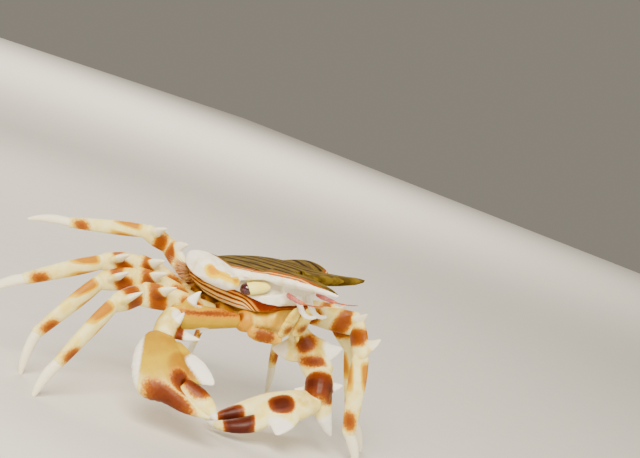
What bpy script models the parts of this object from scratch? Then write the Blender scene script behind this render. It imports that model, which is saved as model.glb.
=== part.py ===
"""Zebra urchin crab, life size, standing still with its claws held forward.

The crab faces -Y and its own left is +X, on a level floor at z = 0.  Sizes
are millimetres and degrees; the root empty's scale turns them into metres.
"""
import math

import bmesh
import bpy
from mathutils import Matrix, Vector

NAME = "zebra_urchin_crab"
MM = 0.001

# ---- stance of the body
BODY_HEIGHT = 12.5
NOSE_UP = 9.5
LEFT_SIDE_UP = 8.0
CENTRE_X = -1.265
CENTRE_Y = 1.90

# ---- clearances between neighbouring pieces
JOINT_GAP = 0.12
SHELL_GAP = 0.10

# ---- carapace: rings from the hind margin forward, as
# (forward, half width, level of the rim, dome height, depth of the floor)
CARAPACE_RINGS = (
    (-4.3, 2.3, -0.75, 0.12, 1.50),
    (-3.6, 3.7, -0.45, 0.30, 1.65),
    (-2.2, 5.0, -0.15, 0.50, 2.00),
    (-0.6, 5.6, 0.0, 0.60, 2.45),
    (1.0, 5.4, 0.0, 0.62, 2.80),
    (2.4, 4.7, 0.0, 0.58, 3.00),
    (3.6, 3.8, 0.0, 0.52, 3.05),
    (4.6, 3.1, 0.0, 0.46, 2.85),
    (5.4, 2.4, 0.0, 0.38, 2.10),
)
WALL_LEAN = 0.30
WALL_EDGE = math.sin(math.radians(54.0))

# ---- paired horns of the forehead, as (forward, centre, half width, up, down)
HORN_RINGS = (
    (4.2, 1.62, 1.58, 0.44, 0.95),
    (6.4, 1.33, 1.28, 0.38, 0.70),
    (8.2, 1.32, 0.80, 0.32, 0.50),
    (9.6, 1.38, 0.42, 0.25, 0.34),
    (10.5, 1.42, 0.12, 0.12, 0.16),
)
HORN_TWIST = 0.55
HORN_LENGTH = HORN_RINGS[-1][0] - HORN_RINGS[0][0]

# ---- lateral teeth, as (side, forward, half width, up, down)
TOOTH_RINGS = (
    (3.6, 0.9, 2.6, 0.40, 1.60),
    (5.4, 1.2, 2.4, 0.85, 1.25),
    (6.3, 1.1, 1.9, 0.90, 0.95),
    (6.9, 0.9, 1.1, 0.55, 0.60),
)
TOOTH_SLOPE = 0.30
# share of the teeth's rise and slope that each side has
TOOTH_RISE = {-1.0: 1.0, 1.0: 0.4}
ORBITAL_TOOTH = (Vector((2.7, 2.4, -0.15)), Vector((4.0, 3.5, -0.35)), 0.75, 0.40)

# ---- eyes and their sockets
EYE_ROOT = Vector((2.45, 4.55, -0.95))
EYE_TIP = Vector((4.05, 3.25, -1.35))
STALK_RADIUS = 0.46
CORNEA_RADIUS = 0.56
SOCKET_ROOM = 0.14

STALK = ((0.0, 0.7, 0.7, 0.7), (0.15, 0.95, 0.95, 0.95), (0.5, 1.0, 1.0, 1.0), (0.8, 0.95, 0.95, 0.95))
CORNEA_PLACE = 0.80

# ---- feelers, as (radius, root, bend, tip), and the outer mouthparts
ANTENNULE = (0.28, Vector((0.55, 5.95, -1.5)), Vector((0.7, 6.5, -3.2)), Vector((0.6, 7.8, -2.7)))
ANTENNA = (0.27, Vector((1.7, 5.9, -1.35)), Vector((1.9, 7.7, -1.9)), Vector((2.0, 9.6, -1.5)))
FEELER = ((0.0, 1.0, 1.0, 1.0), (0.5, 0.95, 0.95, 0.95), (1.0, 0.8, 0.8, 0.8))
MOUTHPART = ((0.0, 0.62, 0.24, 0.24), (0.5, 0.72, 0.30, 0.28), (1.0, 0.5, 0.2, 0.2))
MOUTHPART_ENDS = (Vector((0.82, 5.1, -4.5)), Vector((0.78, 6.1, -2.55)))

# ---- sternum with the coxae, as (forward, half width, depth of the keel)
STERNUM_RINGS = (
    (-4.3, 1.3, 2.1),
    (-3.6, 2.0, 3.0),
    (-2.2, 2.7, 3.9),
    (-0.6, 2.9, 4.5),
    (1.0, 2.8, 4.9),
    (2.4, 2.6, 5.1),
    (3.6, 2.1, 4.9),
    (4.6, 1.5, 4.3),
)
COXA_RADIUS = 0.72

# ---- abdomen folded under the sternum, as (forward, half width)
ABDOMEN_RINGS = ((-4.2, 1.1), (-3.6, 1.5), (-2.2, 1.6), (-0.6, 1.25), (1.0, 0.55))
ABDOMEN_THICKNESS = 0.5

# ---- limbs: the hip is (side, forward, up) in the body's own frame
HIPS = {
    1: (2.5, 2.7, -3.95),
    2: (3.3, 0.7, -3.6),
    3: (3.4, -0.9, -3.3),
    4: (3.2, -2.4, -2.95),
    5: (2.5, -3.6, -2.5),
}
LEG_LENGTHS = {
    2: (6.4, 2.8, 6.2, 3.0),
    3: (5.8, 2.8, 6.2, 3.4),
    4: (5.2, 2.7, 6.2, 3.3),
    5: (4.0, 2.4, 6.2, 3.4),
}
LEG_SIZE = {2: 1.12, 3: 1.05, 4: 1.0, 5: 0.88}
LEG_PIECES = ("merus", "carpus", "propodus", "dactyl")

# yaw from straight ahead, positive to the crab's left, and pitch above level;
# a pitch of None lets the dactyl reach down to the floor
LEG_POSES = {
    (2, "right"): ((-118, -4), (-83, -19), (-78, -49), (-90, None)),
    (3, "right"): ((-127, 2), (-110, -19), (-93, -49), (-90, None)),
    (4, "right"): ((-128, 10), (-117, -12), (-104, -25), (-136, -38)),
    (5, "right"): ((-164, 34), (-108, 16), (-145, -14), (-133, -14)),
    (2, "left"): ((36, 9), (-17, -47), (42, -79), (60, None)),
    (3, "left"): ((47, 7), (48, -42), (61, -69), (62, None)),
    (4, "left"): ((107, 8), (108, -41), (112, -67), (112, None)),
    (5, "left"): ((152, 5), (139, -44), (140, -66), (140, None)),
}

# ---- cross-sections, as (place along, half thickness, height up, height down)
MERUS = ((0.0, 0.40, 0.45, 0.45), (0.3, 0.42, 0.62, 0.55), (0.7, 0.45, 0.98, 0.78),
         (1.0, 0.42, 0.94, 0.80))
CARPUS = ((0.0, 0.40, 0.80, 0.70), (0.5, 0.45, 0.95, 0.80), (1.0, 0.40, 0.74, 0.66))
PROPODUS = ((0.0, 0.38, 0.60, 0.52), (0.3, 0.42, 0.62, 0.52), (0.7, 0.36, 0.52, 0.44),
            (1.0, 0.32, 0.46, 0.40))
DACTYL = ((0.0, 0.30, 0.40, 0.34), (0.35, 0.28, 0.36, 0.30), (0.75, 0.26, 0.27, 0.25),
          (1.0, 0.22, 0.16, 0.16))
SECTIONS = {"merus": MERUS, "carpus": CARPUS, "propodus": PROPODUS, "dactyl": DACTYL}
SECTION_SIDES = 10
CREST_PINCH = 0.45
DACTYL_HOOK = 0.35
FOOT_TRIM = 0.12

# ---- crest spines of the walking legs
SPINE_LEAN = Vector((0.0, -0.78, 0.62))
SPINE_LENGTH = {"merus": 2.15, "carpus": 2.0}
SPINE_WIDTH = 0.78
SPINE_THICKNESS = 0.34
SPINE_PLACE = {"merus": 0.84, "carpus": 0.70}

# ---- form of any thorn, as (place along, share of the root's width, least half width)
THORN = ((0.0, 1.0, 0.0), (0.55, 0.6, 0.0), (1.0, 0.0, 0.08))
THORN_BOW = 0.12

# ---- chelipeds
CHELIPED_MERUS = ((0.0, 0.50, 0.58, 0.58), (0.4, 0.62, 0.85, 0.75), (0.8, 0.72, 1.05, 0.95),
                  (1.0, 0.70, 0.98, 0.90))
CHELIPED_CARPUS = ((0.0, 0.75, 0.95, 0.85), (0.5, 0.95, 1.15, 1.05), (1.0, 0.80, 0.95, 0.90))
HAND = ((0.0, 0.70, 0.85, 0.80), (0.14, 0.95, 1.40, 1.30), (0.36, 1.05, 1.75, 1.60),
        (0.50, 0.98, 1.55, 1.50), (0.62, 0.75, 0.55, 1.25), (0.80, 0.48, 0.30, 0.75),
        (1.0, 0.20, 0.18, 0.22))
# how much deeper the heel of each hand is than the table says
HAND_HEEL = {"right": 1.5, "left": 1.0}
HEEL_END = 0.6
FINGER = ((0.0, 0.62, 0.75, 0.55), (0.3, 0.60, 0.95, 0.55), (0.7, 0.42, 0.68, 0.36),
          (1.0, 0.20, 0.18, 0.16))
# how much stouter the merus and carpus are than their tables say
ARM_SIZE = {"right": 1.0, "left": 1.25}
# the movable finger's root, bend and tip, as (place along the hand, rise above it)
FINGER_RISE = ((0.52, 0.95), (0.78, 1.35), (1.0, 0.55))
CLAW_POSES = {
    "right": {"merus": (5.9, -114, -11), "carpus": (2.4, -52, -33), "palm": (4.6, -33, -41),
              "fingers": (4.3, 41, -8), "dorsal": Vector((0.64, -0.75, 0.10))},
    "left": {"merus": (5.0, 31, -41), "carpus": (2.4, -38, -45), "palm": (4.6, -115, -26),
             "fingers": (4.2, -128, -23), "dorsal": Vector((-0.25, -0.92, -0.30))},
}

# spines and lobes of the chelipeds, as (place along, reach from the centre
# line to the tip, half width, half thickness)
CLAW_SPINES = {
    ("right", "merus"): ((0.84, Vector((0.25, -0.45, 2.30)), 0.70, 0.45),
                         (0.45, Vector((-0.60, 0.30, -1.35)), 0.60, 0.40)),
    ("right", "carpus"): ((0.50, Vector((1.70, -2.00, -0.10)), 0.65, 0.45),
                          (0.60, Vector((0.45, -0.75, 1.60)), 0.70, 0.60)),
    ("right", "palm"): ((0.31, Vector((2.50, -3.00, 0.05)), 1.60, 0.55),
                        (0.17, Vector((1.55, -1.90, 0.05)), 1.30, 0.60),
                        (0.12, Vector((-1.10, 0.90, -1.50)), 0.60, 0.50)),
    ("left", "merus"): ((0.62, Vector((1.80, -2.10, 0.95)), 1.30, 0.55),
                        (0.55, Vector((-1.55, 1.75, -1.10)), 1.25, 0.55)),
    ("left", "carpus"): ((0.38, Vector((1.60, -1.70, -3.60)), 1.15, 1.00),
                         (0.40, Vector((1.20, -1.40, 0.65)), 0.70, 0.45),
                         (0.55, Vector((-1.20, 1.35, -0.65)), 0.60, 0.40)),
    ("left", "palm"): ((0.34, Vector((-1.70, -2.10, -1.40)), 1.45, 0.50),
                       (0.12, Vector((0.60, -0.60, 1.55)), 0.60, 0.50)),
}


# ---------------------------------------------------------------- frames
def body_matrix():
    """Body frame (left, back, up) to the standing crab's frame."""
    lift = Matrix.Translation((-CENTRE_X, -CENTRE_Y, BODY_HEIGHT))
    nose = Matrix.Rotation(math.radians(-NOSE_UP), 4, "X")
    roll = Matrix.Rotation(math.radians(-LEFT_SIDE_UP), 4, "Y")
    return lift @ nose @ roll


BODY = body_matrix()


def on_body(side, forward, up):
    """A point given as (side, forward, up) of the body, in the crab's frame."""
    return BODY @ Vector((side, -forward, up))


def heading(yaw, pitch):
    """Unit vector for a yaw from straight ahead and a pitch above level."""
    yaw = math.radians(yaw)
    pitch = math.radians(pitch)
    return Vector((math.sin(yaw) * math.cos(pitch), -math.cos(yaw) * math.cos(pitch), math.sin(pitch)))


# ---------------------------------------------------------------- scene
def clear_scene():
    for ob in list(bpy.data.objects):
        bpy.data.objects.remove(ob, do_unlink=True)


def new_collection(name):
    group = bpy.data.collections.new(name)
    bpy.context.scene.collection.children.link(group)
    return group


def shell_material(name, colour, roughness):
    mat = bpy.data.materials.new(name)
    mat.use_nodes = True
    shader = mat.node_tree.nodes["Principled BSDF"]
    shader.inputs["Base Color"].default_value = (*colour, 1.0)
    shader.inputs["Roughness"].default_value = roughness
    shader.inputs["Metallic"].default_value = 0.0
    return mat


# ---------------------------------------------------------------- shapes
def ringed_blank(sides, places):
    """A unit cylinder along Z from 0 to 1, with a ring at each place."""
    bm = bmesh.new()
    bmesh.ops.create_cone(bm, cap_ends=True, cap_tris=False, segments=sides, radius1=1.0,
                          radius2=1.0, depth=1.0, matrix=Matrix.Translation((0.0, 0.0, 0.5)))
    for place in places[1:-1]:
        geometry = bm.verts[:] + bm.edges[:] + bm.faces[:]
        bmesh.ops.bisect_plane(bm, geom=geometry, plane_co=(0.0, 0.0, place), plane_no=(0.0, 0.0, 1.0))
    return bm


def face_outwards(bm):
    bmesh.ops.recalc_face_normals(bm, faces=bm.faces)
    if bm.calc_volume(signed=True) < 0.0:
        bmesh.ops.reverse_faces(bm, faces=bm.faces)


def shape_blank(count, sides, mould):
    """A blank with evenly numbered rings whose points mould(ring, x, y) places."""
    places = [i / (count - 1) for i in range(count)]
    bm = ringed_blank(sides, places)
    for vert in bm.verts:
        ring = round(vert.co.z * (count - 1))
        vert.co = mould(ring, vert.co.x, vert.co.y)
    face_outwards(bm)
    return bm


def cut_away(bm, point, normal):
    """Removes what lies ahead of a plane and closes the cut."""
    geometry = bm.verts[:] + bm.edges[:] + bm.faces[:]
    cut = bmesh.ops.bisect_plane(bm, geom=geometry, plane_co=point, plane_no=normal, clear_outer=True)
    rim = [item for item in cut["geom_cut"] if isinstance(item, bmesh.types.BMEdge)]
    if rim:
        bmesh.ops.holes_fill(bm, edges=rim, sides=0)
        face_outwards(bm)


def add_object(bm, name, group):
    mesh = bpy.data.meshes.new(name)
    bm.to_mesh(mesh)
    bm.free()
    ob = bpy.data.objects.new(name, mesh)
    group.objects.link(ob)
    return ob


def combine(ob, bm, operation, tools):
    """Joins or cuts an object with a tool shape, kept apart as a guide."""
    tool = add_object(bm, ob.name + "_tool", tools)
    tool.hide_render = True
    tool.display_type = "WIRE"
    change = ob.modifiers.new(operation.lower(), "BOOLEAN")
    change.operation = operation
    change.solver = "EXACT"
    change.object = tool


def side_axis(along, top):
    return along.cross(top).normalized()


def sweep(path, top, rings, sides=SECTION_SIDES, size=1.0, grow=0.0, pinch=CREST_PINCH, reach=0.0):
    """A limb-like body along path(t), oval in section with a narrowed crest.

    reach carries the first and last ring past the ends of the path, for the
    joint planes to trim.
    """
    def mould(ring, x, y):
        t, thick, up, down = rings[ring]
        step = 0.01
        along = (path(t + step) - path(t - step)).normalized()
        rise = (top - along * top.dot(along)).normalized()
        across = side_axis(along, rise)
        centre = path(t)
        if ring == 0:
            centre -= along * reach
        if ring == len(rings) - 1:
            centre += along * reach
        height = (up if y > 0.0 else down) * size + grow
        width = (thick * size + grow) * (1.0 - pinch * max(y, 0.0) ** 2)
        return centre + across * (x * width) + rise * (y * height)

    return shape_blank(len(rings), sides, mould)


def straight(start, end):
    return lambda t: start.lerp(end, t)


def bowed(start, middle, end):
    """A quadratic curve from start to end that leans towards middle."""
    return lambda t: start * (1 - t) ** 2 + middle * (2 * t * (1 - t)) + end * t ** 2


def thorn(root, tip, width, thick, top, bow=THORN_BOW):
    """A pointed blade, a little arched towards top."""
    length = (tip - root).length
    middle = root.lerp(tip, 0.5) + top.normalized() * (bow * length)
    rings = [(t, thick * share + end, width * share + end, width * share + end)
             for t, share, end in THORN]
    return sweep(bowed(root, middle, tip), top, rings, sides=6, pinch=0.2)


def ball(centre, radius):
    bm = bmesh.new()
    place = Matrix.Translation(centre)
    bmesh.ops.create_uvsphere(bm, u_segments=10, v_segments=7, radius=radius, matrix=place)
    return bm


# ---------------------------------------------------------------- body
def carapace_floor(forward):
    """How far below the rim the side wall ends, at a place along the body."""
    rings = CARAPACE_RINGS
    for near, far in zip(rings, rings[1:]):
        if forward <= far[0]:
            share = max(0.0, (forward - near[0]) / (far[0] - near[0]))
            return near[4] + (far[4] - near[4]) * share
    return rings[-1][4]


def carapace_shell():
    def mould(ring, x, y):
        forward, half, rim, dome, depth = CARAPACE_RINGS[ring]
        if y >= 0.0:
            return on_body(half * x, forward, rim + dome * (1.0 - x * x))
        share = min(1.0, -y / WALL_EDGE)
        width = half * (1.0 - WALL_LEAN * share ** 1.4)
        if -y > WALL_EDGE:
            width *= abs(x) / math.sqrt(1.0 - WALL_EDGE ** 2)
        return on_body(math.copysign(width, x), forward, rim - (depth + rim) * share)

    return shape_blank(len(CARAPACE_RINGS), 20, mould)


def horn(sign):
    def mould(ring, x, y):
        forward, centre, half, up, down = HORN_RINGS[ring]
        height = up if y > 0.0 else down
        twist = sign * HORN_TWIST * ((forward - HORN_RINGS[0][0]) / HORN_LENGTH) ** 2
        return on_body(sign * centre + half * x, forward, height * y + twist)

    return shape_blank(len(HORN_RINGS), 10, mould)


def lateral_tooth(sign):
    def mould(ring, x, y):
        side, forward, half, up, down = TOOTH_RINGS[ring]
        rise = TOOTH_RISE[sign]
        height = up * rise if y > 0.0 else down
        return on_body(sign * side, forward + half * x, height * y - TOOTH_SLOPE * rise * half * x)

    return shape_blank(len(TOOTH_RINGS), 10, mould)


def mirrored(sign, point):
    return on_body(sign * point.x, point.y, point.z)


def body_up():
    return (BODY.to_3x3() @ Vector((0.0, 0.0, 1.0))).normalized()


def orbital_tooth(sign):
    root, tip, width, thick = ORBITAL_TOOTH
    return thorn(mirrored(sign, root), mirrored(sign, tip), thick, width, body_up(), bow=0.0)


def eye_socket(sign):
    room = CORNEA_RADIUS + SOCKET_ROOM
    rings = ((0.0, room, room, room), (1.0, room, room, room))
    path = straight(mirrored(sign, EYE_ROOT), mirrored(sign, EYE_TIP))
    return sweep(path, body_up(), rings, pinch=0.0, reach=1.0)


def eye(name, sign, group, tools):
    root = mirrored(sign, EYE_ROOT)
    tip = mirrored(sign, EYE_TIP)
    bm = sweep(straight(root, tip), body_up(), STALK, size=STALK_RADIUS, pinch=0.0)
    ob = add_object(bm, name, group)
    cornea = ball(root.lerp(tip, CORNEA_PLACE), CORNEA_RADIUS)
    combine(ob, cornea, "UNION", tools)
    return ob


def sternum():
    def mould(ring, x, y):
        forward, half, keel = STERNUM_RINGS[ring]
        roof = carapace_floor(forward) + SHELL_GAP
        middle = (roof + keel) / 2.0
        height = (keel - roof) / 2.0
        flat = math.copysign(abs(y) ** 0.7, y)
        return on_body(half * x, forward, -middle + height * flat)

    return shape_blank(len(STERNUM_RINGS), 14, mould)


def abdomen():
    def mould(ring, x, y):
        forward, half = ABDOMEN_RINGS[ring]
        level = keel_depth(forward) + SHELL_GAP
        drop = level if y > 0.0 else level + ABDOMEN_THICKNESS * abs(y)
        return on_body(half * x, forward, -drop)

    return shape_blank(len(ABDOMEN_RINGS), 8, mould)


def keel_depth(forward):
    rings = STERNUM_RINGS
    for near, far in zip(rings, rings[1:]):
        if forward <= far[0]:
            share = max(0.0, (forward - near[0]) / (far[0] - near[0]))
            return near[2] + (far[2] - near[2]) * share
    return rings[-1][2]


# ---------------------------------------------------------------- limbs
def mitre(before, after):
    return (before + after).normalized()


def limb_points(hip, lengths, poses):
    """Joint centres from the hip out.

    A free pitch takes the tip just under the floor, which trims it flat.
    """
    points = [hip]
    for length, (yaw, pitch) in zip(lengths, poses):
        if pitch is None:
            pitch = -math.degrees(math.asin((points[-1].z + FOOT_TRIM) / length))
        points.append(points[-1] + heading(yaw, pitch) * length)
    return points


def joint_planes(points, index):
    """The planes that end a limb piece, as (point, outward normal)."""
    start = points[index]
    end = points[index + 1]
    along = (end - start).normalized()
    if index == 0:
        planes = [(start + along * (COXA_RADIUS + JOINT_GAP), -along)]
    else:
        normal = mitre((start - points[index - 1]).normalized(), along)
        planes = [(start + normal * (JOINT_GAP / 2), -normal)]
    if index + 2 < len(points):
        normal = mitre(along, (points[index + 2] - end).normalized())
        planes.append((end - normal * (JOINT_GAP / 2), normal))
    return planes


def piece_between(points, index, top, rings, size, path=None):
    """One limb piece, trimmed at the planes that halve its joints."""
    start = points[index]
    end = points[index + 1]
    reach = 0.9 * size if index + 2 < len(points) else 0.0
    bm = sweep(path or straight(start, end), top, rings, size=size, reach=reach)
    for point, normal in joint_planes(points, index):
        cut_away(bm, point, normal)
    return bm


def walking_leg(number, side, group, tools, materials):
    sign = 1.0 if side == "left" else -1.0
    reach, forward, up = HIPS[number]
    hip = on_body(sign * reach, forward, up)
    size = LEG_SIZE[number]
    poses = LEG_POSES[(number, side)]
    points = limb_points(hip, LEG_LENGTHS[number], poses)
    for index, piece in enumerate(LEG_PIECES):
        start = points[index]
        end = points[index + 1]
        along = (end - start).normalized()
        top = Vector((0.0, 0.0, 1.0))
        if abs(along.z) > 0.6:
            top = Vector((along.x, along.y, 0.0)).normalized() + Vector((0.0, 0.0, 0.3))
        path = None
        if piece == "dactyl":
            rise = (top - along * top.dot(along)).normalized()
            path = bowed(start, start.lerp(end, 0.5) + rise * DACTYL_HOOK, end)
        bm = piece_between(points, index, top, SECTIONS[piece], size, path)
        if piece == "dactyl" and poses[index][1] is None:
            cut_away(bm, Vector((0.0, 0.0, 0.0)), Vector((0.0, 0.0, -1.0)))
        name = f"leg{number}_{side}_{piece}"
        ob = add_object(bm, name, group)
        ob.data.materials.append(materials["leg"])
        if piece in SPINE_LENGTH:
            rise = (top - along * top.dot(along)).normalized()
            root = start.lerp(end, SPINE_PLACE[piece]) + rise * (0.05 * size)
            tip = root + SPINE_LEAN.normalized() * (SPINE_LENGTH[piece] * size)
            blade = thorn(root, tip, SPINE_WIDTH * size, SPINE_THICKNESS * size, along)
            for point, normal in joint_planes(points, index):
                cut_away(blade, point, normal)
            combine(ob, blade, "UNION", tools)


def add_spines(ob, path, key, planes, tools):
    """Joins a cheliped piece's spines and lobes, each flat along the piece."""
    for place, reach, width, thick in CLAW_SPINES[key]:
        centre = path(place)
        along = (path(place + 0.05) - path(place - 0.05)).normalized()
        blade = thorn(centre + reach * 0.1, centre + reach, width, thick, along)
        for point, normal in planes:
            cut_away(blade, point, normal)
        combine(ob, blade, "UNION", tools)


def cheliped(side, group, tools, materials):
    sign = 1.0 if side == "left" else -1.0
    pose = CLAW_POSES[side]
    reach, forward, up = HIPS[1]
    points = [on_body(sign * reach, forward, up)]
    for piece in ("merus", "carpus", "palm", "fingers"):
        length, yaw, pitch = pose[piece]
        points.append(points[-1] + heading(yaw, pitch) * length)
    hip, elbow, wrist, knuckle, tip = points
    level = Vector((0.0, 0.0, 1.0))
    dorsal = pose["dorsal"].normalized()
    stout = ARM_SIZE[side]

    merus = add_object(piece_between(points[:4], 0, level, CHELIPED_MERUS, stout),
                       f"cheliped_{side}_merus", group)
    add_spines(merus, straight(hip, elbow), (side, "merus"), joint_planes(points, 0), tools)
    carpus = add_object(piece_between(points[:4], 1, level, CHELIPED_CARPUS, stout),
                        f"cheliped_{side}_carpus", group)
    add_spines(carpus, straight(elbow, wrist), (side, "carpus"), joint_planes(points, 1), tools)

    hand_path = bowed(wrist, knuckle, tip)
    heel = HAND_HEEL[side]
    hand = [(place, thick, up, down * (heel if place < HEEL_END else 1.0))
            for place, thick, up, down in HAND]
    bm = sweep(hand_path, dorsal, hand, sides=12, pinch=0.25)
    wrist_plane = joint_planes(points, 2)[0]
    cut_away(bm, *wrist_plane)
    palm = add_object(bm, f"cheliped_{side}_palm", group)
    add_spines(palm, hand_path, (side, "palm"), (wrist_plane,), tools)

    finger_path = bowed(*(hand_path(place) + dorsal * rise for place, rise in FINGER_RISE))
    room = sweep(finger_path, dorsal, FINGER, sides=8, pinch=0.2, grow=SHELL_GAP, reach=0.1)
    combine(palm, room, "DIFFERENCE", tools)
    finger = add_object(sweep(finger_path, dorsal, FINGER, sides=8, pinch=0.2),
                        f"cheliped_{side}_finger", group)
    for ob in (merus, carpus, palm, finger):
        ob.data.materials.append(materials["claw"])


# ---------------------------------------------------------------- trim
def feeler(name, sign, form, group):
    """A bent feeler of one side, from its root past the bend to its tip."""
    path = bowed(*(mirrored(sign, point) for point in form[1:]))
    bm = sweep(path, body_up(), FEELER, sides=8, size=form[0], pinch=0.0)
    return add_object(bm, name, group)


def mouthpart(name, sign, group):
    """An outer maxilliped: a narrow plate that closes half of the mouth."""
    path = straight(*(mirrored(sign, point) for point in MOUTHPART_ENDS))
    return add_object(sweep(path, body_up(), MOUTHPART, sides=8, pinch=0.0), name, group)


# ---------------------------------------------------------------- assembly
def build_body(group, tools, materials):
    shell = add_object(carapace_shell(), "carapace", group)
    under = add_object(sternum(), "underbody", group)
    tail = add_object(abdomen(), "abdomen", group)
    for sign in (-1.0, 1.0):
        combine(shell, horn(sign), "UNION", tools)
        combine(shell, lateral_tooth(sign), "UNION", tools)
        combine(shell, orbital_tooth(sign), "UNION", tools)
        for reach, forward, up in HIPS.values():
            coxa = ball(on_body(sign * reach, forward, up), COXA_RADIUS)
            combine(under, coxa, "UNION", tools)
    for sign in (-1.0, 1.0):
        combine(shell, eye_socket(sign), "DIFFERENCE", tools)
        combine(under, eye_socket(sign), "DIFFERENCE", tools)
    shell.data.materials.append(materials["carapace"])
    under.data.materials.append(materials["underside"])
    tail.data.materials.append(materials["underside"])


def build_trim(group, tools, materials):
    for side, sign in (("right", -1.0), ("left", 1.0)):
        look = eye(f"eye_{side}", sign, group, tools)
        look.data.materials.append(materials["eye"])
        for name, form in (("antennule", ANTENNULE), ("antenna", ANTENNA)):
            ob = feeler(f"{name}_{side}", sign, form, group)
            ob.data.materials.append(materials["feeler"])
        mouth = mouthpart(f"maxilliped_{side}", sign, group)
        mouth.data.materials.append(materials["underside"])


def hang_on(root, group):
    """Parents a group's objects to the root, whose scale makes millimetres metres."""
    for ob in group.objects:
        ob.parent = root
        ob.data.shade_smooth()
        ob.data.set_sharp_from_angle(angle=math.radians(50.0))


def main():
    clear_scene()
    group = new_collection(NAME)
    tools = new_collection("shaping_tools")
    materials = {
        "carapace": shell_material("carapace_shell", (0.48, 0.28, 0.10), 0.4),
        "underside": shell_material("pale_shell", (0.80, 0.62, 0.36), 0.45),
        "leg": shell_material("banded_shell", (0.86, 0.62, 0.32), 0.4),
        "claw": shell_material("claw_shell", (0.88, 0.45, 0.13), 0.35),
        "eye": shell_material("eye_surface", (0.75, 0.62, 0.35), 0.2),
        "feeler": shell_material("feeler_shell", (0.75, 0.55, 0.45), 0.4),
    }
    build_body(group, tools, materials)
    build_trim(group, tools, materials)
    for side in ("right", "left"):
        cheliped(side, group, tools, materials)
        for number in LEG_LENGTHS:
            walking_leg(number, side, group, tools, materials)
    root = bpy.data.objects.new(NAME + "_root", None)
    root.scale = (MM, MM, MM)
    bpy.context.scene.collection.objects.link(root)
    hang_on(root, group)
    hang_on(root, tools)


main()
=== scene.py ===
import math

import bpy
from mathutils import Matrix, Vector


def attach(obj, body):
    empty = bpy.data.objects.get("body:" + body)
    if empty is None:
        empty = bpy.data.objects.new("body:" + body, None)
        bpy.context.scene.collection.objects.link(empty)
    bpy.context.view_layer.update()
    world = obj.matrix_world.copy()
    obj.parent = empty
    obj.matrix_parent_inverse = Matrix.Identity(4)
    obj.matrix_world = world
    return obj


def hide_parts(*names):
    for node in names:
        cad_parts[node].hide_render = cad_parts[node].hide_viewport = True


# A zebra urchin crab, life size, standing still.  It faces -Y, its own left
# is +X and the floor is z = 0.  Pieces are modelled in millimetres and made
# metres when they are finished.
MM = 0.001

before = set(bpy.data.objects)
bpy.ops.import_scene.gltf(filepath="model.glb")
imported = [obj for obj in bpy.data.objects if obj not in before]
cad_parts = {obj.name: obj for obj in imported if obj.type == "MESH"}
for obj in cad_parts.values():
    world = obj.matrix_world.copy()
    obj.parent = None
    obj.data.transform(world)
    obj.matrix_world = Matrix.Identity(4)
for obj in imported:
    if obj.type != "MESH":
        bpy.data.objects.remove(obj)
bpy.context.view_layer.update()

# ---- stance of the body, as in the solids
BODY_HEIGHT = 12.5
NOSE_UP = 9.5
LEFT_SIDE_UP = 8.0
CENTRE_X = -1.265
CENTRE_Y = 1.90

SIDES = {"right": -1.0, "left": 1.0}

# ---- voxel sizes of the fused surfaces
SHELL_GRAIN = 0.085
LIMB_GRAIN = 0.065
FINE_GRAIN = 0.045

# ---- carapace: rings from the hind margin forward, as
# (forward, half width, level of the rim, dome height, depth of the floor)
CARAPACE_RINGS = (
    (-4.3, 2.3, -0.75, 0.12, 1.50),
    (-3.6, 3.7, -0.45, 0.30, 1.65),
    (-2.2, 5.0, -0.15, 0.50, 2.00),
    (-0.6, 5.6, 0.0, 0.60, 2.45),
    (1.0, 5.4, 0.0, 0.62, 2.80),
    (2.4, 4.7, 0.0, 0.58, 3.00),
    (3.6, 3.8, 0.0, 0.52, 3.05),
    (4.6, 3.1, 0.0, 0.46, 2.85),
    (5.4, 2.4, 0.0, 0.38, 2.10),
)
CARAPACE_STEPS = 22
# width of the section from the rim down the side wall to the floor, as
# (share of the way down, share of the half width)
WALL_PROFILE = ((0.0, 1.0), (0.10, 1.0), (0.20, 0.93), (0.45, 0.90), (0.80, 0.80), (1.0, 0.70))
WALL_EDGE = math.sin(math.radians(54.0))
# where the ruled part of the side wall begins, as (forward, distance below the rim)
WALL_TOP = ((-4.3, 0.30), (-1.0, 0.50), (1.0, 1.00), (2.5, 1.50), (4.3, 2.20), (5.4, 2.35))
# painted shade of a hollow, in yolk yellow, down the middle of the outer face of each lateral tooth
TOOTH_SHADE_LINE = (Vector((6.3, 2.3, 0.0)), Vector((5.0, 3.1, -0.55)))

# the front teeth, as (forward, side of the middle, half width, height up, height down)
HORN_RINGS = (
    (4.2, 1.62, 1.58, 0.44, 0.95),
    (6.4, 1.33, 1.28, 0.38, 0.70),
    (8.2, 1.32, 0.80, 0.32, 0.50),
    (9.6, 1.38, 0.42, 0.25, 0.34),
    (10.5, 1.42, 0.10, 0.10, 0.12),
)
HORN_TWIST = 0.55
HORN_LENGTH = HORN_RINGS[-1][0] - HORN_RINGS[0][0]
# the lateral teeth, as (side, forward of the middle, half width, height up, height down)
TOOTH_RINGS = (
    (3.6, 0.9, 2.6, 0.40, 1.60),
    (5.4, 1.2, 2.4, 0.85, 1.25),
    (6.3, 1.1, 1.9, 0.90, 0.95),
    (6.9, 0.9, 1.1, 0.55, 0.60),
)
TOOTH_SLOPE = 0.30
# share of the teeth's rise and slope that each side has
TOOTH_RISE = {-1.0: 1.0, 1.0: 0.4}
# a point of the line outside which the top of the tooth that stands up is
# white, and the way out from that line
TOOTH_EDGE = Vector((4.28, 2.61, 0.0))
TOOTH_EDGE_OUT = Vector((0.883, 0.469, 0.0))
# the small tooth by the eye: its ends, half width and half thickness
ORBITAL_TOOTH = (Vector((2.7, 2.4, -0.15)), Vector((4.0, 3.5, -0.35)), 0.75, 0.40)

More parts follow.
